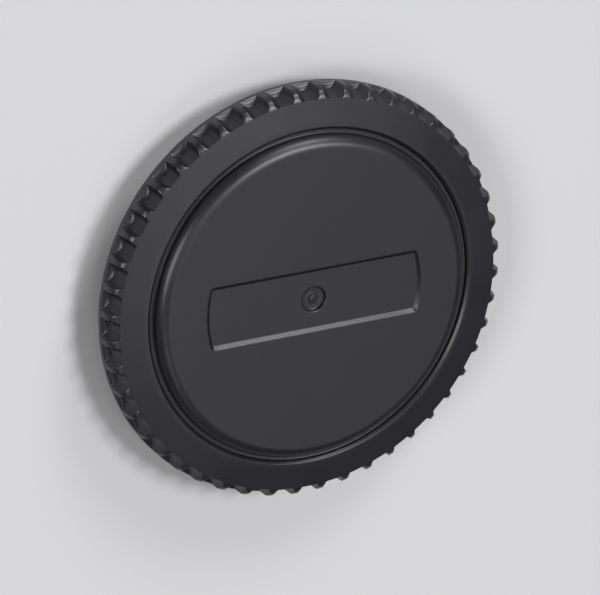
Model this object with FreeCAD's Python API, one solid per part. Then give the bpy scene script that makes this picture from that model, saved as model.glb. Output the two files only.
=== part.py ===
"""Body cap for a bayonet mount, moulded in one piece of black ABS.

Seen from the front it is a raised round face with a soft shoulder, a fine groove round
its foot, and a gently falling ring that rolls over into a gripping rim with 48 flutes.
Behind that it is a thin-walled moulding: a collar with three bayonet lugs and a stop, a
cored channel between collar and rim with stiffening webs, and an open hollow in the
collar.

Millimetres. Z is the cap's axis and points out of its front face. X runs along the
nameplate recess. The origin is the middle of the collar's free end, on which the cap
rests when it lies face up.
"""

import math
import os

import FreeCAD
import Part
from FreeCAD import Vector

# The mount that the cap is made to fit
throat_d = 54.0  # bore between the mount's claws
mount_face_w = 5.5  # radial width of the mount's flat face round that bore
claw_depth = 2.6  # from that face to the back of the claws

# Collar and bayonet
lug_clearance = 0.2  # radial, in the throat
lug_reach = 1.4  # how far a lug stands out of the collar
lug_t = 1.6
lug_angle = 54.0  # degrees that each lug spans
lug_angle_keyed = 60.0  # the wider one, so that the cap goes in one way only
lug_turn = 30.0  # degrees from the X axis to the middle of the first lug
lug_ramp_angle = 9.0  # degrees of thinned lead-in at a lug's leading end
lug_ramp_drop = 0.5
collar_wall = 1.8
collar_tail = 0.8  # collar left beyond the lugs
collar_lead_in = 0.4  # chamfer at the collar's free end
stop_angle = 4.0  # degrees that the stop beside the keyed lug spans

# Front face
face_rise = 1.2  # raised face above the ring's inner edge
face_t = 2.0  # wall behind the raised face
face_overhang = 0.8  # raised face's foot outside the collar
shoulder_w = 1.9  # radial width of the rounded shoulder
shoulder_steps = 4  # narrow cones that its rounding is turned in
groove_w = 0.8
groove_depth = 0.9
groove_edge = 0.45  # chamfer on the ring's inner edge

# Ring and gripping rim
ring_h = 5.1  # ring's inner edge above the seat
ring_fall = 7.0  # degrees that the ring falls outwards
rim_cover = 1.0  # rim beyond the mount's face
rim_corner_r = 2.0
rim_corner_steps = 3  # narrow cones that its rounding is turned in
rim_edge = 0.3  # chamfer round the seat
seat_w = 3.8  # radial width of the rim's flat back
flute_count = 48
flute_r = 1.75
flute_foot_depth = 1.1  # inside the rim, where a flute ends
flute_front_depth = 2.4  # inside the rim, at the height of the ring's inner edge
flute_land_below = 1.1  # plain band between the flutes and the seat

# Cored channel behind the ring
ring_t = 1.8  # wall left under the ring
web_count = 9
web_turn = 15.0  # degrees from the X axis to the first web
web_t = 1.2
web_inset = 0.6  # webs stop this far short of the seat

# Nameplate recess and gate dimple
plate_h = 10.2
plate_end_r = 18.2  # its ends are arcs round the cap's axis
plate_depth = 0.5
plate_bevel = 0.5  # how far its walls lean
dimple_d = 4.0
dimple_depth = 0.7
gate_d = 1.2  # stub of the moulding gate, left standing in the dimple
gate_h = 0.35

# Worked out from those
throat_r = throat_d / 2
lug_r = throat_r - lug_clearance
collar_r = lug_r - lug_reach
hollow_r = collar_r - collar_wall
lug_top = collar_tail + lug_t
seat_z = lug_top + claw_depth
rim_r = throat_r + mount_face_w + rim_cover
channel_r = rim_r - seat_w
face_foot_r = collar_r + face_overhang
groove_r = face_foot_r + groove_w
ring_z = seat_z + ring_h
face_z = ring_z + face_rise
hollow_top = face_z - face_t
fall = math.radians(ring_fall)
channel_top = ring_z - (channel_r - groove_r) * math.tan(fall) - ring_t
flute_foot = seat_z + flute_land_below
AXIS = Vector(0, 0, 1)
CENTRE = Vector(0, 0, 0)
SUNK = 0.3  # how far one form is sunk into the next before they are fused
CLEAR = 5.0  # how far a cutter runs out of the material


class Outline:
    """A half section in the plane of the axis, drawn as radius and height."""

    def __init__(self, r, z):
        self.start = self.at = Vector(r, 0, z)
        self.edges = []

    def line(self, r, z):
        to = Vector(r, 0, z)
        self.edges.append(Part.makeLine(self.at, to))
        self.at = to
        return self

    def stepped_arc(self, centre_r, centre_z, turn, steps):
        """A clockwise arc in equal straight steps, which turn into narrow cones."""
        spoke = self.at - Vector(centre_r, 0, centre_z)
        for k in range(1, steps + 1):
            angle = turn * k / steps
            r = spoke.x * math.cos(angle) + spoke.z * math.sin(angle)
            z = spoke.z * math.cos(angle) - spoke.x * math.sin(angle)
            self.line(centre_r + r, centre_z + z)
        return self

    def turned(self, angle=360.0, start_angle=0.0):
        self.line(self.start.x, self.start.z)
        face = Part.Face(Part.Wire(self.edges))
        solid = face.revolve(CENTRE, AXIS, angle)
        return solid.rotate(CENTRE, AXIS, start_angle)


def turned_body():
    """The whole moulding but for what repeats round it, as one turned section."""
    shoulder_from_r = face_foot_r - shoulder_w
    shoulder_r = (shoulder_w**2 + face_rise**2) / (2 * face_rise)
    shoulder_turn = 2 * math.atan2(face_rise, shoulder_w)
    groove_floor = ring_z - groove_depth
    corner_from_r = rim_r - rim_corner_r + rim_corner_r * math.sin(fall)
    corner_from_z = ring_z - (corner_from_r - groove_r) * math.tan(fall)
    corner_z = corner_from_z - rim_corner_r * math.cos(fall)
    out = Outline(0, face_z)
    out.line(shoulder_from_r, face_z)
    out.stepped_arc(shoulder_from_r, face_z - shoulder_r, shoulder_turn, shoulder_steps)
    out.line(face_foot_r, groove_floor)
    out.line(groove_r, groove_floor)
    out.line(groove_r, ring_z - groove_edge)
    out.line(groove_r + groove_edge, ring_z - groove_edge * math.tan(fall))
    out.line(corner_from_r, corner_from_z)
    out.stepped_arc(rim_r - rim_corner_r, corner_z, math.pi / 2 - fall, rim_corner_steps)
    out.line(rim_r, seat_z + rim_edge)
    out.line(rim_r - rim_edge, seat_z)
    out.line(channel_r, seat_z)
    out.line(channel_r, channel_top)
    out.line(collar_r, channel_top)
    out.line(collar_r, collar_lead_in)
    out.line(collar_r - collar_lead_in, 0)
    out.line(hollow_r, 0)
    out.line(hollow_r, hollow_top)
    out.line(0, hollow_top)
    return out.turned()


def ring_of(shape, count, start_angle=0.0):
    """Copies of a shape, evenly spaced round the axis."""
    step = 360.0 / count
    return [
        shape.copy().rotate(CENTRE, AXIS, start_angle + k * step) for k in range(count)
    ]


def flute_cutter():
    """One flute: a round cutter that leans in towards the front, over a level end."""
    foot = Vector(rim_r - flute_foot_depth, 0, flute_foot)
    front = Vector(rim_r - flute_front_depth, 0, ring_z)
    along = (front - foot).normalize()
    outward = Vector(along.z, 0, -along.x)
    start = foot + outward * flute_r - along * CLEAR
    round_part = Part.makeCylinder(flute_r, ring_z - flute_foot + 3 * CLEAR, start, along)
    above = Part.makeBox(rim_r, 4 * flute_r, face_z, Vector(rim_r / 2, -2 * flute_r, flute_foot))
    return round_part.common(above)


def lug(angle, middle, stop=False):
    """One bayonet lug, with its outer lower edge eased and its leading end thinned."""
    ease = collar_lead_in
    start = middle - angle / 2
    made = (
        Outline(collar_r - SUNK, collar_tail)
        .line(lug_r - ease, collar_tail)
        .line(lug_r, collar_tail + ease)
        .line(lug_r, lug_top)
        .line(collar_r - SUNK, lug_top)
        .turned(angle, start)
    )
    ramp_run = lug_r * math.radians(lug_ramp_angle)
    slope = math.degrees(math.atan2(lug_ramp_drop, ramp_run))
    plane = Part.makeBox(2 * lug_reach + CLEAR, ramp_run + CLEAR, CLEAR)
    plane.translate(Vector(collar_r, -ramp_run - CLEAR, 0))
    plane.rotate(CENTRE, Vector(1, 0, 0), slope)
    plane.translate(Vector(0, 0, lug_top))
    made = made.cut(plane.rotate(CENTRE, AXIS, start + lug_ramp_angle))
    if stop:
        made = made.fuse(
            Outline(collar_r - SUNK, lug_top - SUNK)
            .line(lug_r, lug_top - SUNK)
            .line(lug_r, seat_z)
            .line(collar_r - SUNK, seat_z)
            .turned(stop_angle, start + angle - stop_angle)
        )
    return made


def lugs():
    """Three lugs, the last one keyed and with the stop that ends the turn."""
    apart = 120.0
    plain = [lug(lug_angle, lug_turn + k * apart) for k in range(2)]
    return plain + [lug(lug_angle_keyed, lug_turn + 2 * apart, stop=True)]


def web():
    """One stiffening web across the cored channel."""
    long = channel_r - collar_r + 2 * SUNK
    deep = channel_top - seat_z - web_inset + SUNK
    corner = Vector(collar_r - SUNK, -web_t / 2, seat_z + web_inset)
    return Part.makeBox(long, web_t, deep, corner)


def plate_outline(shrink, z):
    """The nameplate's outline: two straight sides, and ends that are arcs."""
    half = plate_h / 2 - shrink
    end_r = plate_end_r - shrink
    along = math.sqrt(end_r**2 - half**2)
    corners = [
        Vector(along, half, z),
        Vector(-along, half, z),
        Vector(-along, -half, z),
        Vector(along, -half, z),
    ]
    edges = [
        Part.makeLine(corners[0], corners[1]),
        Part.Arc(corners[1], Vector(-end_r, 0, z), corners[2]).toShape(),
        Part.makeLine(corners[2], corners[3]),
        Part.Arc(corners[3], Vector(end_r, 0, z), corners[0]).toShape(),
    ]
    return Part.Wire(edges)


def nameplate_recess():
    """Shallow bare recess with leaning walls, carried on above the face to cut it."""
    lean = plate_bevel / plate_depth
    above = plate_depth
    floor = plate_outline(plate_bevel, face_z - plate_depth)
    mouth = plate_outline(-above * lean, face_z + above)
    return Part.makeLoft([floor, mouth], True, True)


def gate_dimple():
    """Round sink in the middle of the face, left round the stub of the gate."""
    floor = face_z - plate_depth - dimple_depth
    return (
        Outline(gate_d / 2, floor)
        .line(dimple_d / 2, floor)
        .line(dimple_d / 2, face_z + CLEAR)
        .line(0, face_z + CLEAR)
        .line(0, floor + gate_h)
        .line(gate_d / 2, floor + gate_h)
        .turned()
    )


def body_cap():
    """The finished one-piece cap."""
    cap = turned_body()
    cap = cap.fuse(lugs() + ring_of(web(), web_count, web_turn))
    cap = cap.cut(ring_of(flute_cutter(), flute_count))
    cap = cap.cut([nameplate_recess(), gate_dimple()])
    return cap.removeSplitter()


os.makedirs("parts", exist_ok=True)
finished = body_cap()
if finished.ShapeType != "Solid":
    finished = finished.Solids[0]
finished.exportStep("parts/body_cap.step")
print("body_cap", "valid", finished.isValid(), "volume", round(finished.Volume, 1))
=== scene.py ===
"""Looks of the body cap: one moulding in black plastic, lying face up on a pale floor.

Sizes are in millimetres and are turned into metres when a mesh is made. The cap's axis
is Z, its face looks up, and its nameplate recess runs along X.
"""

import math

import bmesh
import bpy
from mathutils import Matrix, Vector


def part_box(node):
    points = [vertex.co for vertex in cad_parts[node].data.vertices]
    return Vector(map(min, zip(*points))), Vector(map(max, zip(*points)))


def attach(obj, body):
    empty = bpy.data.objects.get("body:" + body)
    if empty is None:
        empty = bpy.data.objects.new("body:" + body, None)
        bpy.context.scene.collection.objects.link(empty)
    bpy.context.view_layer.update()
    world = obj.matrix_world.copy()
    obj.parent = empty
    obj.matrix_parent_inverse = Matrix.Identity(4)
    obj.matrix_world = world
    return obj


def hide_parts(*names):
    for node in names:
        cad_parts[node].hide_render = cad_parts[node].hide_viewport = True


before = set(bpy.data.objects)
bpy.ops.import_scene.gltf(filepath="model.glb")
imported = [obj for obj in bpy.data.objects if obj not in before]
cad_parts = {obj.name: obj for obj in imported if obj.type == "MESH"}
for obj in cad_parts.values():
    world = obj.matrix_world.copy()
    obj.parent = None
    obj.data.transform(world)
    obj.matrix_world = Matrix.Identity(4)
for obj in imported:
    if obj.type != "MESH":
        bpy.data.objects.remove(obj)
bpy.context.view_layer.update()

# Front ring and gripping rim
# The cap is one piece, moulded in black ABS. Its outer form is a soft shoulder round the
# face, a fine groove at its foot, a gently falling ring, and a rounded rim whose flutes
# come from round pins that lean inwards in the mould. Every edge is eased a little.
MM = 0.001
node_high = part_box("body_cap")[1] / MM
rim_r = node_high.x
face_z = node_high.z
face_rise = 1.2
ring_z = face_z - face_rise
shoulder_start_r = 24.3
shoulder_foot_r = 26.2
groove_r = 27.0
groove_z = ring_z - 0.9
ring_edge = 0.45
ring_fall = math.radians(7)
corner_r = 2.0
seat_z = 5.0
seat_edge = 0.3
channel_r = 29.7
flute_count = 48
flute_r = 1.75
flute_foot = 6.1
flute_foot_r = rim_r - 1.1
flute_front_r = rim_r - 2.4
flute_round = 0.95  # the mould's rounding between a flute's wall and its level end
edge = 0.15  # how much the mould eases an edge
top_turn = math.radians(9)  # on the rim's corner, where the rows round a flute start
wall_steps = 14  # rows down a flute's wall
across = 4  # columns on each half of a flute
land_steps = 2  # columns on each half of a land
round_steps = 6
shoulder_steps = 8
ring_steps = 5
halvings = 40  # of a span in which a crossing is looked for
MERGE = 0.001  # points nearer than this are one point


def eased(corners, steps=3):
    """Points of an open section, where each inner corner (r, z, radius) is a small arc."""
    points = [Vector(corners[0][:2])]
    for before, (r, z, radius), after in zip(corners, corners[1:], corners[2:]):
        at = Vector((r, z))
        back = (Vector(before[:2]) - at).normalized()
        onward = (Vector(after[:2]) - at).normalized()
        half = back.angle(onward) / 2
        centre = at + (back + onward).normalized() * radius / math.sin(half)
        first = at + back * radius / math.tan(half) - centre
        last = at + onward * radius / math.tan(half) - centre
        for k in range(steps + 1):
            points.append(centre + first.lerp(last, k / steps).normalized() * radius)
    points.append(Vector(corners[-1][:2]))
    return points


def spread(start, end, steps):
    """Evenly spaced section points after the first, up to the last."""
    a, b = Vector(start), Vector(end)
    return [a.lerp(b, k / steps) for k in range(1, steps + 1)]


def turned(point, angles):
    """A section point carried round the axis to each of the angles."""
    r, z = point
    return [Vector((r * math.cos(a), r * math.sin(a), z)) for a in angles]


def strip(faces, row, next_row):
    """Adds the faces between two rows of as many points."""
    for k in range(len(row) - 1):
        faces.append((row[k], row[k + 1], next_row[k + 1], next_row[k]))


def strips(faces, rows):
    """Adds the faces between each row and the next."""
    for row, next_row in zip(rows, rows[1:]):
        strip(faces, row, next_row)


def add_faces(mesh, faces):
    """Puts loose faces into a mesh, in metres, and merges the points that they share."""
    for face in faces:
        mesh.faces.new([mesh.verts.new(point * MM) for point in face])
    bmesh.ops.remove_doubles(mesh, verts=mesh.verts, dist=MERGE * MM)


def root(function, low, high):
    """Where a function that is negative at low and positive at high crosses zero."""
    for _ in range(halvings):
        middle = (low + high) / 2
        if function(middle) < 0:
            low = middle
        else:
            high = middle
    return low


half_pitch = math.pi / flute_count
lean = math.atan2(flute_foot_r - flute_front_r, ring_z - flute_foot)
pin_r = flute_foot_r + flute_r * math.cos(lean)
pin_z = flute_foot + flute_r * math.sin(lean)
corner_centre_r = rim_r - corner_r
corner_start_r = corner_centre_r + corner_r * math.sin(ring_fall)
corner_start_z = ring_z - (corner_start_r - groove_r) * math.tan(ring_fall)
corner_centre_z = corner_start_z - corner_r * math.cos(ring_fall)


def rim_section(s):
    """Radius and height on the rim, at a length s past the top of its corner arc."""
    turn = min(s / corner_r, math.pi / 2)
    below = s - corner_r * turn
    r = corner_centre_r + corner_r * math.sin(turn)
    return r, corner_centre_z + corner_r * math.cos(turn) - below


def pin_axes(s, angle):
    """A rim point seen along the pin's axis: sideways, outwards and up the pin."""
    r, z = rim_section(s)
    x = r * math.cos(angle) - pin_r
    up = z - pin_z
    outwards = x * math.cos(lean) + up * math.sin(lean)
    return r * math.sin(angle), outwards, up * math.cos(lean) - x * math.sin(lean)


def clear_of_pin(s, angle):
    """How far outside the pin a rim point is."""
    sideways, outwards, _ = pin_axes(s, angle)
    return math.hypot(sideways, outwards) - flute_r


def in_flute(height, turn):
    """A point on the flute's wall, turned round the pin from its innermost line."""
    outwards = -flute_r * math.cos(turn)
    x = pin_r + outwards * math.cos(lean) - height * math.sin(lean)
    z = pin_z + outwards * math.sin(lean) + height * math.cos(lean)
    return Vector((x, flute_r * math.sin(turn), z))


def foot_height(turn):
    """How far up the pin the flute's level end meets its wall."""
    rise = flute_foot - pin_z + flute_r * math.cos(turn) * math.sin(lean)
    return rise / math.cos(lean)


def beside(line, distance):
    """A flat line moved sideways, to its left."""
    moved = []
    for k, point in enumerate(line):
        along = line[min(k + 1, len(line) - 1)] - line[max(k - 1, 0)]
        moved.append(point + Vector((-along.y, along.x)).normalized() * distance)
    return moved


def mirrored(half):
    """Both halves of a row, from its right half that starts on the middle line."""
    left = [Vector((p.x, -p.y, p.z)) for p in half[:0:-1]]
    return left + half


def one_pitch():
    """Faces of one flute and half the land on each side of it, from shoulder to seat."""
    foot_s = corner_r * math.pi / 2 + corner_centre_z - flute_foot
    below_foot_s = foot_s + edge
    top_s = corner_r * top_turn
    tip_s = root(lambda s: -clear_of_pin(s, 0), 0, corner_r * math.pi / 2)
    outline = []
    for k in range(wall_steps + 1):
        s = tip_s + (foot_s - tip_s) * (k / wall_steps) ** 2
        outline.append((s, root(lambda a: clear_of_pin(s, a), 0, half_pitch)))
    both = [(s, -a) for s, a in outline[:0:-1]] + outline

    # Where the land's flat starts, beside the eased edge
    flat = [Vector((s, rim_section(s)[0] * a)) for s, a in both]
    flat = beside(flat, edge)[wall_steps:]
    beside_edge = [(p.x, p.y / rim_section(p.x)[0]) for p in flat]
    beside_edge[0] = (beside_edge[0][0], 0.0)
    beside_edge[-1] = (below_foot_s, outline[-1][1] + edge / rim_r)

    # Columns of the pitch: over the flute's mouth, and on the land beside it
    mouth = beside_edge[-1][1]
    half_columns = [mouth * k / across for k in range(across + 1)]
    for k in range(1, land_steps + 1):
        half_columns.append(mouth + (half_pitch - mouth) * k / land_steps)
    columns = [-a for a in half_columns[:0:-1]] + half_columns

    border = [(top_s, a) for a in half_columns]
    side_steps = wall_steps + 1 - len(half_columns)
    for k in range(1, side_steps + 1):
        border.append((top_s + (below_foot_s - top_s) * k / side_steps, half_pitch))

    # Where the flute's own wall starts
    turns = []
    for s, a in both:
        sideways, outwards, height = pin_axes(s, a)
        turns.append(Vector((height, flute_r * math.atan2(sideways, -outwards))))
    wall = [(p.x, p.y / flute_r) for p in beside(turns, edge)[wall_steps:]]
    last_turn = turns[-1].y / flute_r - edge / flute_r
    wall[0] = (wall[0][0], 0.0)
    wall[-1] = (foot_height(last_turn), last_turn)

    def on_rim(s, a):
        return turned(rim_section(s), [a])[0]

    land_rows = []
    for share in (1.0, 0.5, 0.0):
        half = []
        for (s0, a0), (s1, a1) in zip(beside_edge, border):
            half.append(on_rim(s0 + (s1 - s0) * share, a0 + (a1 - a0) * share))
        land_rows.append(half)
    wall_row = [in_flute(*place) for place in wall]
    sharp_row = [on_rim(*place) for place in outline]
    eased_row = [(a + 2 * b + c) / 4 for a, b, c in zip(land_rows[-1], sharp_row, wall_row)]
    faces = []
    strips(faces, [mirrored(half) for half in land_rows + [eased_row, wall_row]])

    # The flute's wall, row by row down to the rounding above its level end
    end_angle = math.atan2(wall_row[-1].y, wall_row[-1].x)
    ends = [end_angle * j / across for j in range(across)]
    end_row = turned((rim_r - edge, flute_foot), ends)
    corners = [last_turn * j / across for j in range(across)]
    corners = [(in_flute(foot_height(at), at), at) for at in corners]
    rounds = [min(flute_round, (to - at[0]).length) for to, at in zip(end_row, corners)] + [0]
    rows = [[wall_row[0]] * (2 * across + 1)]
    for k in range(1, wall_steps + 1):
        height, turn = wall[k]
        level = (k / wall_steps) ** 2
        half = []
        for j in range(across + 1):
            at = turn * j / across
            dip = level * (foot_height(at) + rounds[j] - foot_height(turn))
            half.append(in_flute(height + dip, at))
        rows.append(mirrored(half))
    for k in range(1, round_steps + 1):
        turn = math.pi / 2 * k / round_steps
        half = []
        for to, (corner, at), size in zip(end_row, corners, rounds):
            up = in_flute(foot_height(at) + size, at) - corner
            out = (to - corner).normalized() * size
            half.append(corner + up * (1 - math.sin(turn)) + out * (1 - math.cos(turn)))
        rows.append(mirrored(half + [wall_row[-1]]))

    # The level end, and its eased edge down to the plain band
    band_row = turned((rim_r, flute_foot - edge), half_columns[:across])
    edge_row = turned((rim_r, flute_foot), ends)
    soft_row = [(a + 2 * b + c) / 4 for a, b, c in zip(end_row, edge_row, band_row)]
    rows.append(mirrored(end_row + [wall_row[-1]]))
    rows.append(mirrored(soft_row + [eased_row[-1]]))
    rows.append(mirrored(band_row + [land_rows[-1][-1]]))
    strips(faces, rows)

    # The shoulder, groove and ring in front of the flutes, and the band and seat behind
    shoulder_w = shoulder_foot_r - shoulder_start_r
    shoulder_r = (shoulder_w**2 + face_rise**2) / (2 * face_rise)
    section = []
    for k in range(shoulder_steps):
        turn = math.asin(shoulder_w / shoulder_r) * k / shoulder_steps
        drop = shoulder_r * (1 - math.cos(turn))
        section.append((shoulder_start_r + shoulder_r * math.sin(turn), face_z - drop))
    section += eased(
        [
            (*section[-1], 0),
            (shoulder_foot_r, ring_z, edge),
            (shoulder_foot_r, groove_z, edge),
            (groove_r, groove_z, edge),
            (groove_r, ring_z - ring_edge, edge),
            (groove_r + ring_edge, ring_z - ring_edge * math.tan(ring_fall), edge),
            (groove_r + 3 * ring_edge, ring_z - 3 * ring_edge * math.tan(ring_fall), 0),
        ]
    )[1:]
    section += spread(section[-1], (corner_start_r, corner_start_z), ring_steps)
    section.append(rim_section(top_s))
    strips(faces, [turned(point, columns) for point in section])
    section = eased(
        [
            (rim_r, flute_foot - edge, 0),
            (rim_r, seat_z + seat_edge, edge),
            (rim_r - seat_edge, seat_z, edge),
            (channel_r + edge, seat_z, 0),
        ]
    )
    strips(faces, [turned(point, columns) for point in section])
    return faces, columns


def ring_of_copies():
    """Node tree that sets copies of a mesh evenly round the Z axis and welds them."""
    tree = bpy.data.node_groups.new("ring of copies", "GeometryNodeTree")
    sockets = tree.interface
    sockets.new_socket("Geometry", in_out="INPUT", socket_type="NodeSocketGeometry")
    sockets.new_socket("Count", in_out="INPUT", socket_type="NodeSocketInt")
    sockets.new_socket("Weld Distance", in_out="INPUT", socket_type="NodeSocketFloat")
    sockets.new_socket("Material", in_out="INPUT", socket_type="NodeSocketMaterial")
    sockets.new_socket("Geometry", in_out="OUTPUT", socket_type="NodeSocketGeometry")
    nodes, links = tree.nodes, tree.links
    given = nodes.new("NodeGroupInput")
    made = nodes.new("NodeGroupOutput")
    points = nodes.new("GeometryNodePoints")
    index = nodes.new("GeometryNodeInputIndex")
    step = nodes.new("ShaderNodeMath")
    step.operation = "DIVIDE"
    step.inputs[0].default_value = 2 * math.pi
    angle = nodes.new("ShaderNodeMath")
    angle.operation = "MULTIPLY"
    turn = nodes.new("FunctionNodeAxisAngleToRotation")
    turn.inputs["Axis"].default_value = (0, 0, 1)
    place = nodes.new("GeometryNodeInstanceOnPoints")
    realize = nodes.new("GeometryNodeRealizeInstances")
    weld = nodes.new("GeometryNodeMergeByDistance")
    paint = nodes.new("GeometryNodeSetMaterial")
    links.new(given.outputs["Count"], points.inputs["Count"])
    links.new(given.outputs["Count"], step.inputs[1])
    links.new(index.outputs["Index"], angle.inputs[0])
    links.new(step.outputs["Value"], angle.inputs[1])
    links.new(angle.outputs["Value"], turn.inputs["Angle"])
    links.new(points.outputs[0], place.inputs["Points"])
    links.new(given.outputs["Geometry"], place.inputs["Instance"])
    links.new(turn.outputs["Rotation"], place.inputs["Rotation"])
    links.new(place.outputs["Instances"], realize.inputs["Geometry"])
    links.new(realize.outputs["Geometry"], weld.inputs["Geometry"])
    links.new(given.outputs["Weld Distance"], weld.inputs["Distance"])
    links.new(weld.outputs["Geometry"], paint.inputs["Geometry"])
    links.new(given.outputs["Material"], paint.inputs["Material"])
    links.new(paint.outputs["Geometry"], made.inputs["Geometry"])
    return tree


def set_inputs(modifier, **values):
    """Sets a tree's named inputs, by the identifiers that the modifier knows them by."""
    for socket in modifier.node_group.interface.items_tree:
        name = socket.name.lower().replace(" ", "_")
        if socket.in_out == "INPUT" and name in values:
            modifier[socket.identifier] = values[name]


def ring_of(name, faces, count, material):
    """A plain mesh of copies of some faces, set evenly round the axis."""
    pitch = bmesh.new()
    add_faces(pitch, faces)
    holder = bpy.data.objects.new(name, bpy.data.meshes.new(name))
    pitch.to_mesh(holder.data)
    pitch.free()
    bpy.context.scene.collection.objects.link(holder)
    modifier = holder.modifiers.new("ring of copies", "NODES")
    modifier.node_group = ring_of_copies()
    set_inputs(modifier, count=count, weld_distance=MERGE * MM, material=material)
    graph = bpy.context.evaluated_depsgraph_get()
    made = bpy.data.meshes.new_from_object(holder.evaluated_get(graph))
    bpy.data.objects.remove(holder)
    return made


plastic = bpy.data.materials.new("black moulded plastic")
pitch_faces, pitch_columns = one_pitch()
rim_mesh = ring_of("rim pitch", pitch_faces, flute_count, plastic)
base_angles = []
for k in range(flute_count):
    base_angles += [a + 2 * half_pitch * k for a in pitch_columns[:-1]]

# Raised face
# The flat front, with a shallow bare recess for a nameplate across it. The stub of the
# moulding gate stands in a small round sink in its middle, below the face.
plate_h = 10.2
plate_end_r = 18.2
plate_corner = 0.7
plate_z = face_z - 0.5
plate_lean = 0.5
dimple_r = 2.0
dimple_z = plate_z - 0.7
gate_r = 0.6
gate_z = dimple_z + 0.35
plate_end_steps = 8  # points on each half of the recess's arc ends
plate_corner_steps = 5
plate_side_steps = 12  # on each half of its straight sides
dimple_steps = 48


def plate_loop(inset, z):
    """The recess's outline, moved inwards by an inset, anticlockwise from its right end."""
    centre_y = plate_h / 2 - plate_corner
    centre_x = math.sqrt((plate_end_r - plate_corner) ** 2 - centre_y**2)
    corner = math.atan2(centre_y, centre_x)
    radius = plate_corner - inset
    end_r = plate_end_r - inset
    quarter = []
    for k in range(plate_end_steps):
        angle = corner * k / plate_end_steps
        quarter.append((end_r * math.cos(angle), end_r * math.sin(angle)))
    for k in range(plate_corner_steps + 1):
        angle = corner + (math.pi / 2 - corner) * k / plate_corner_steps
        x = centre_x + radius * math.cos(angle)
        quarter.append((x, centre_y + radius * math.sin(angle)))
    for k in range(1, plate_side_steps + 1):
        quarter.append((centre_x * (1 - k / plate_side_steps), centre_y + radius))
    left = [(-x, y) for x, y in quarter[-2:0:-1]]
    top = quarter + left
    loop = top + [(-x, -y) for x, y in top]
    return [Vector((x, y, z)) for x, y in loop + loop[:1]]


def flat_fill(faces, loops):
    """Fills the flat ground between closed rows of points."""
    ground = bmesh.new()
    for loop in loops:
        verts = [ground.verts.new(point) for point in loop[:-1]]
        for a, b in zip(verts, verts[1:] + verts[:1]):
            ground.edges.new((a, b))
    bmesh.ops.triangle_fill(ground, use_beauty=True, edges=ground.edges[:])
    for face in ground.faces:
        faces.append(tuple(vert.co.copy() for vert in face.verts))
    ground.free()


def even_angles(count):
    """A full turn in even steps, with the first angle again at its end."""
    return [2 * math.pi * k / count for k in range(count + 1)]


face_faces = []
plate_section = eased(
    [
        (-2 * edge, face_z, 0),
        (0, face_z, edge),
        (plate_lean, plate_z, edge),
        (plate_lean + edge, plate_z, 0),
    ]
)
plate_rows = [plate_loop(inset, z) for inset, z in plate_section]
dimple_section = eased(
    [
        (dimple_r + 2 * edge, plate_z, 0),
        (dimple_r, plate_z, edge),
        (dimple_r, dimple_z, edge),
        (gate_r, dimple_z, edge / 2),
        (gate_r, gate_z, edge / 2),
        (0, gate_z, 0),
    ]
)
dimple_rows = [turned(point, even_angles(dimple_steps)) for point in dimple_section]
closed_angles = base_angles + [base_angles[0] + 2 * math.pi]
face_rim = turned((shoulder_start_r, face_z), closed_angles)
flat_fill(face_faces, [face_rim, plate_rows[0]])
strips(face_faces, plate_rows)
flat_fill(face_faces, [plate_rows[-1], dimple_rows[0]])
strips(face_faces, dimple_rows)

# Cored back
# Behind the face the moulding is thin-walled: a channel with nine webs between rim and
# collar, three bayonet lugs round the collar, a stop on the keyed one, and an open
# hollow. The pins that push the cap out of its mould leave four round marks.
collar_r = 25.4
hollow_r = 23.6
hollow_z = face_z - 2.0
channel_z = ring_z - (channel_r - groove_r) * math.tan(ring_fall) - 1.8
collar_chamfer = 0.4
web_count = 9
web_turn = math.radians(15)
web_half = 0.6
web_z = seat_z + 0.6
lug_r = 26.8
lug_low = 0.8
lug_top = 2.4
lug_chamfer = 0.4
ramp_angle = math.radians(9)
ramp_drop = 0.5
lug_spans = [(3, 57), (123, 177), (240, 300)]
stop_span = (296, 300)
draft = 0.05  # the mould's draft, across each upright side
mark_count = 4
mark_turn = math.radians(45)
mark_r = 2.5
mark_ring_r = 15.0
mark_depth = 0.12
mark_steps = 40


def with_steps(angles, steps, r):
    """The column angles, with the pair round each step moved close to it."""
    moved = list(angles)
    for step in steps:
        k = max(i for i, a in enumerate(angles) if a < step)
        moved[k] = step - draft / r
        moved[k + 1] = step + draft / r
    return moved


def web_steps(r):
    """The angles at which the webs' sides stand, at a radius."""
    half = math.asin(web_half / r)
    centres = [web_turn + 2 * math.pi * k / web_count for k in range(web_count)]
    return [centre + side * half for centre in centres for side in (-1, 1)]


def in_web(angle, r):
    """Whether a point of the channel lies in one of the webs."""
    nearest = round((angle - web_turn) / (2 * math.pi / web_count))
    off = angle - web_turn - nearest * 2 * math.pi / web_count
    return abs(r * math.sin(off)) < web_half


def channel_row(r, z):
    """Round the channel at one section point, level with the webs where they stand."""
    row = []
    for angle in with_steps(base_angles, web_steps(r), r):
        height = min(z, web_z) if in_web(angle, r) else z
        row += turned((r, height), [angle])
    return row + row[:1]


def collar_row(plain, on_lug, on_stop, angles):
    """Round the collar, with other section points on the lugs and on the stop."""
    row = []
    for angle in angles:
        degrees = math.degrees(angle) % 360
        spans = [span for span in lug_spans if span[0] < degrees < span[1]]
        point = plain
        if spans:
            r, z, on_top = on_lug
            past = math.radians(degrees - spans[0][0])
            thinner = ramp_drop * max(0.0, 1 - past / ramp_angle) if on_top else 0.0
            point = (r, z - thinner)
        if stop_span[0] < degrees < stop_span[1]:
            point = on_stop
        row += turned(point, [angle])
    return row + row[:1]


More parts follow.
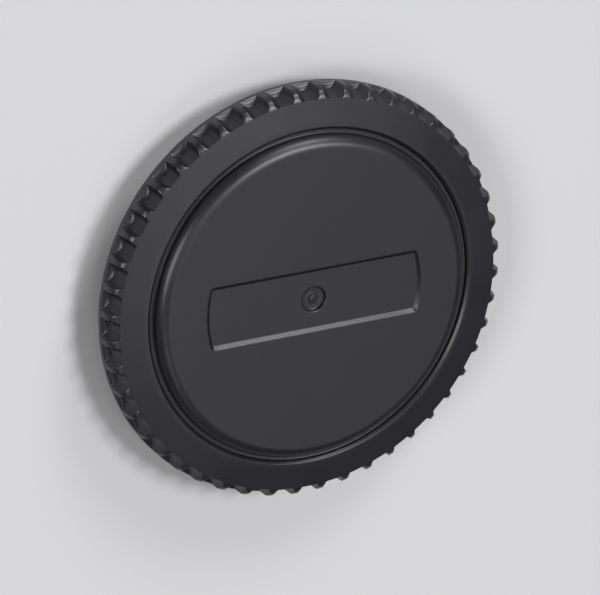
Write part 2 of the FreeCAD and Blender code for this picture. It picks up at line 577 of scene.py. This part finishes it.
back_faces = []
channel_section = eased(
    [
        (channel_r + edge, seat_z, 0),
        (channel_r, seat_z, 0.99 * edge),
        (channel_r, channel_z, 2 * edge),
        (collar_r, channel_z, 2 * edge),
        (collar_r, seat_z + edge, 0),
    ]
)
back_rows = [turned(channel_section[0], closed_angles)]
back_rows += [channel_row(r, z) for r, z in channel_section[2:-1]]

ends = sorted({math.radians(a) for span in lug_spans + [stop_span] for a in span})
collar_angles = with_steps(base_angles, ends, collar_r)
root_top = (collar_r, lug_top)
stop_root = (collar_r, seat_z)
on_top, plain_side = True, False

# Rows from the seat down to below the lugs: where each one runs on the plain collar, on
# a lug, whose top is thinned at its leading end, and on the stop
for plain, on_lug, on_stop in [
    ((collar_r, seat_z + edge), (collar_r, seat_z + edge, plain_side), (collar_r, seat_z + edge)),
    (stop_root, (*stop_root, plain_side), stop_root),
    (stop_root, (*stop_root, plain_side), (lug_r - edge, seat_z)),
    (stop_root, (*stop_root, plain_side), (lug_r, seat_z - edge)),
    (root_top, (*root_top, on_top), (lug_r, lug_top)),
    (root_top, (lug_r - edge, lug_top, on_top), (lug_r, lug_top)),
    (root_top, (lug_r, lug_top - edge, on_top), (lug_r, lug_top - edge)),
    (root_top, (lug_r, lug_low + lug_chamfer, plain_side), (lug_r, lug_low + lug_chamfer)),
    (root_top, (lug_r - lug_chamfer, lug_low, plain_side), (lug_r - lug_chamfer, lug_low)),
    ((collar_r, lug_low), (collar_r, lug_low, plain_side), (collar_r, lug_low)),
]:
    back_rows.append(collar_row(plain, on_lug, on_stop, collar_angles))

hollow_section = eased(
    [
        (collar_r, lug_low, 0),
        (collar_r, collar_chamfer, edge),
        (collar_r - collar_chamfer, 0, edge),
        (hollow_r, 0, edge),
        (hollow_r, hollow_z, 2 * edge),
        (hollow_r - 3 * edge, hollow_z, 0),
    ]
)
closed_collar = collar_angles + [collar_angles[0] + 2 * math.pi]
back_rows += [turned(point, closed_collar) for point in hollow_section[1:]]
strips(back_faces, back_rows)

mark_section = eased(
    [
        (mark_r + edge, hollow_z, 0),
        (mark_r, hollow_z, edge / 3),
        (mark_r, hollow_z + mark_depth, edge / 3),
        (0, hollow_z + mark_depth, 0),
    ]
)
mark_edges = []
for k in range(mark_count):
    angle = mark_turn + 2 * math.pi * k / mark_count
    centre = Vector((mark_ring_r * math.cos(angle), mark_ring_r * math.sin(angle), 0))
    mark_rows = []
    for point in mark_section:
        mark_rows.append([p + centre for p in turned(point, even_angles(mark_steps))])
    strips(back_faces, mark_rows)
    mark_edges.append(mark_rows[0])
flat_fill(back_faces, [back_rows[-1]] + mark_edges)

# The finished moulding
# One closed skin in black ABS, as it comes out of the mould: satin, with a very fine
# eroded grain, and a little polished by handling on its edges and flutes.
soft_bend = 9  # degrees between faces, where hands leave no polish
hard_bend = 25  # where they polish an edge fully
sharp_bend = math.radians(40)  # where the shading breaks
dark_black = (0.0080, 0.0077, 0.0110, 1)
light_black = (0.0100, 0.0096, 0.0134, 1)
handled_black = (0.020, 0.0195, 0.024, 1)
handled_share = 0.6
roughness = (0.34, 0.39)
grain_roughness = 0.03
handled_smoothness = 0.06
noise_roughness = 0.6
smudge_scale = 70.0  # noise cells in a metre, as is the grain's
smudge_detail = 4.0
smudge_span = (0.35, 0.65)  # of the noise, from no smudge to a full one
grain_scale = 5200.0
grain_detail = 2.0
grain_span = (0.3, 0.7)
grain_height = 0.00003
grain_strength = 0.055
plastic_ior = 1.5
whole = bmesh.new()
whole.from_mesh(rim_mesh)
add_faces(whole, face_faces + back_faces)
bmesh.ops.dissolve_degenerate(whole, edges=whole.edges, dist=MERGE * MM / 10)
bmesh.ops.recalc_face_normals(whole, faces=whole.faces)
handled = whole.verts.layers.float.new("handled")
for vert in whole.verts:
    bend = max(math.degrees(link.calc_face_angle_signed(0)) for link in vert.link_edges)
    vert[handled] = min(1.0, max(0.0, (bend - soft_bend) / (hard_bend - soft_bend)))
cap_mesh = bpy.data.meshes.new("body_cap_moulding")
whole.to_mesh(cap_mesh)
whole.free()
cap_mesh.materials.clear()
cap_mesh.materials.append(plastic)
cap_mesh.shade_smooth()
cap_mesh.set_sharp_from_angle(angle=sharp_bend)
cap = bpy.data.objects.new("body_cap_moulding", cap_mesh)
bpy.context.scene.collection.objects.link(cap)
weighted = cap.modifiers.new("weighted normals", "WEIGHTED_NORMAL")
weighted.keep_sharp = True


def black_plastic(material):
    """Satin black ABS with a fine moulded grain and handled edges."""
    material.use_nodes = True
    nodes, links = material.node_tree.nodes, material.node_tree.links
    shader = nodes["Principled BSDF"]
    place = nodes.new("ShaderNodeTexCoord")

    def noise(scale, detail):
        node = nodes.new("ShaderNodeTexNoise")
        node.inputs["Scale"].default_value = scale
        node.inputs["Detail"].default_value = detail
        node.inputs["Roughness"].default_value = noise_roughness
        links.new(place.outputs["Object"], node.inputs["Vector"])
        return node.outputs["Fac"]

    def ranged(value, low, high, to_low, to_high):
        node = nodes.new("ShaderNodeMapRange")
        node.inputs["From Min"].default_value = low
        node.inputs["From Max"].default_value = high
        node.inputs["To Min"].default_value = to_low
        node.inputs["To Max"].default_value = to_high
        links.new(value, node.inputs["Value"])
        return node.outputs["Result"]

    def math_node(operation, a, b):
        node = nodes.new("ShaderNodeMath")
        node.operation = operation
        for socket, value in zip(node.inputs, (a, b)):
            if isinstance(value, float):
                socket.default_value = value
            else:
                links.new(value, socket)
        return node.outputs["Value"]

    wear = nodes.new("ShaderNodeAttribute")
    wear.attribute_name = "handled"
    handled = wear.outputs["Fac"]
    smudge = ranged(noise(smudge_scale, smudge_detail), *smudge_span, 0.0, 1.0)
    grain = noise(grain_scale, grain_detail)

    tint = nodes.new("ShaderNodeMix")
    tint.data_type = "RGBA"
    tint.inputs["A"].default_value = dark_black
    tint.inputs["B"].default_value = light_black
    links.new(smudge, tint.inputs["Factor"])
    lighter = nodes.new("ShaderNodeMix")
    lighter.data_type = "RGBA"
    lighter.inputs["B"].default_value = handled_black
    links.new(math_node("MULTIPLY", handled, handled_share), lighter.inputs["Factor"])
    links.new(tint.outputs["Result"], lighter.inputs["A"])
    links.new(lighter.outputs["Result"], shader.inputs["Base Color"])

    rough = ranged(smudge, 0.0, 1.0, *roughness)
    grained = ranged(grain, *grain_span, -grain_roughness, grain_roughness)
    rough = math_node("ADD", rough, grained)
    polish = math_node("MULTIPLY", handled, handled_smoothness)
    rough = math_node("SUBTRACT", rough, polish)
    links.new(rough, shader.inputs["Roughness"])

    bump = nodes.new("ShaderNodeBump")
    bump.inputs["Strength"].default_value = grain_strength
    bump.inputs["Distance"].default_value = grain_height
    links.new(grain, bump.inputs["Height"])
    links.new(bump.outputs["Normal"], shader.inputs["Normal"])
    shader.inputs["IOR"].default_value = plastic_ior


black_plastic(plastic)
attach(cap, "root")
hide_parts("body_cap")

# Pale floor
# A plain matt surface under the cap, wide enough to fill every view.
reach = 15.0
floor_colour = (0.52, 0.52, 0.53, 1)
floor_corners = [(-reach, -reach, 0), (reach, -reach, 0), (reach, reach, 0), (-reach, reach, 0)]
floor_mesh = bpy.data.meshes.new("floor")
floor_mesh.from_pydata(floor_corners, [], [(0, 1, 2, 3)])
floor = bpy.data.objects.new("floor", floor_mesh)
bpy.context.scene.collection.objects.link(floor)
pale = bpy.data.materials.new("pale floor")
pale.use_nodes = True
matt = pale.node_tree.nodes["Principled BSDF"]
matt.inputs["Base Color"].default_value = floor_colour
matt.inputs["Roughness"].default_value = 0.9
matt.inputs["Specular IOR Level"].default_value = 0.2
floor_mesh.materials.append(pale)

# Soft studio light
# Square softboxes stand round the cap. The key is high on its far right, and a low one
# behind that rakes over the face and lights the shoulder. The room adds a weak fill.
box_distance = 4.0
box_size = 1.2
room_light = 0.08


def softbox(name, elevation, azimuth, radiance):
    """A softbox that faces the cap, from these degrees above it and round it."""
    up, around = math.radians(elevation), math.radians(azimuth)
    flat = Vector((math.cos(around), math.sin(around), 0))
    away = flat * math.cos(up) + Vector((0, 0, math.sin(up)))
    data = bpy.data.lights.new(name, "AREA")
    data.shape = "SQUARE"
    data.size = box_size
    data.energy = radiance * math.pi * box_size**2
    lamp = bpy.data.objects.new(name, data)
    turn = away.to_track_quat("Z", "Y").to_matrix().to_4x4()
    lamp.matrix_world = Matrix.Translation(away * box_distance) @ turn
    lamp.visible_camera = False
    bpy.context.scene.collection.objects.link(lamp)


softbox("key softbox", 65, 45, 24.0)
softbox("raking softbox", 28, 69, 15.0)
softbox("left softbox", 41, 172, 14.0)
softbox("near softbox", 50, 240, 2.6)
softbox("right softbox", 65, 315, 2.6)
softbox("top softbox", 80, 180, 2.0)
world = bpy.data.worlds.new("room")
world.use_nodes = True
background = world.node_tree.nodes["Background"]
background.inputs["Color"].default_value = (1, 1, 1, 1)
background.inputs["Strength"].default_value = room_light
bpy.context.scene.world = world

# The view
# The photograph sees the cap from its upper left, and the same view looks down on it
# here. The frame is closer than the photograph's, so that the cap fills it.
view_yaw = math.radians(26.4)
view_pitch = math.radians(22.6)
view_distance = 0.70
frame_width = 0.092
sensor = 36.0
aim = Vector((0.0, -0.0015, 0.006))
to_viewer = Vector(
    (
        -math.sin(view_yaw) * math.cos(view_pitch),
        math.sin(view_pitch),
        math.cos(view_yaw) * math.cos(view_pitch),
    )
)
rightwards = Vector((math.cos(view_yaw), 0, math.sin(view_yaw)))
upwards = to_viewer.cross(rightwards)
view_data = bpy.data.cameras.new("view")
view_data.sensor_width = sensor
view_data.lens = sensor * view_distance / frame_width
view_data.clip_start = 0.01
view = bpy.data.objects.new("view", view_data)
turn = Matrix((rightwards, upwards, to_viewer)).transposed().to_4x4()
view.matrix_world = Matrix.Translation(aim + to_viewer * view_distance) @ turn
bpy.context.scene.collection.objects.link(view)
bpy.context.scene.camera = view
bpy.context.scene.view_settings.view_transform = "Standard"
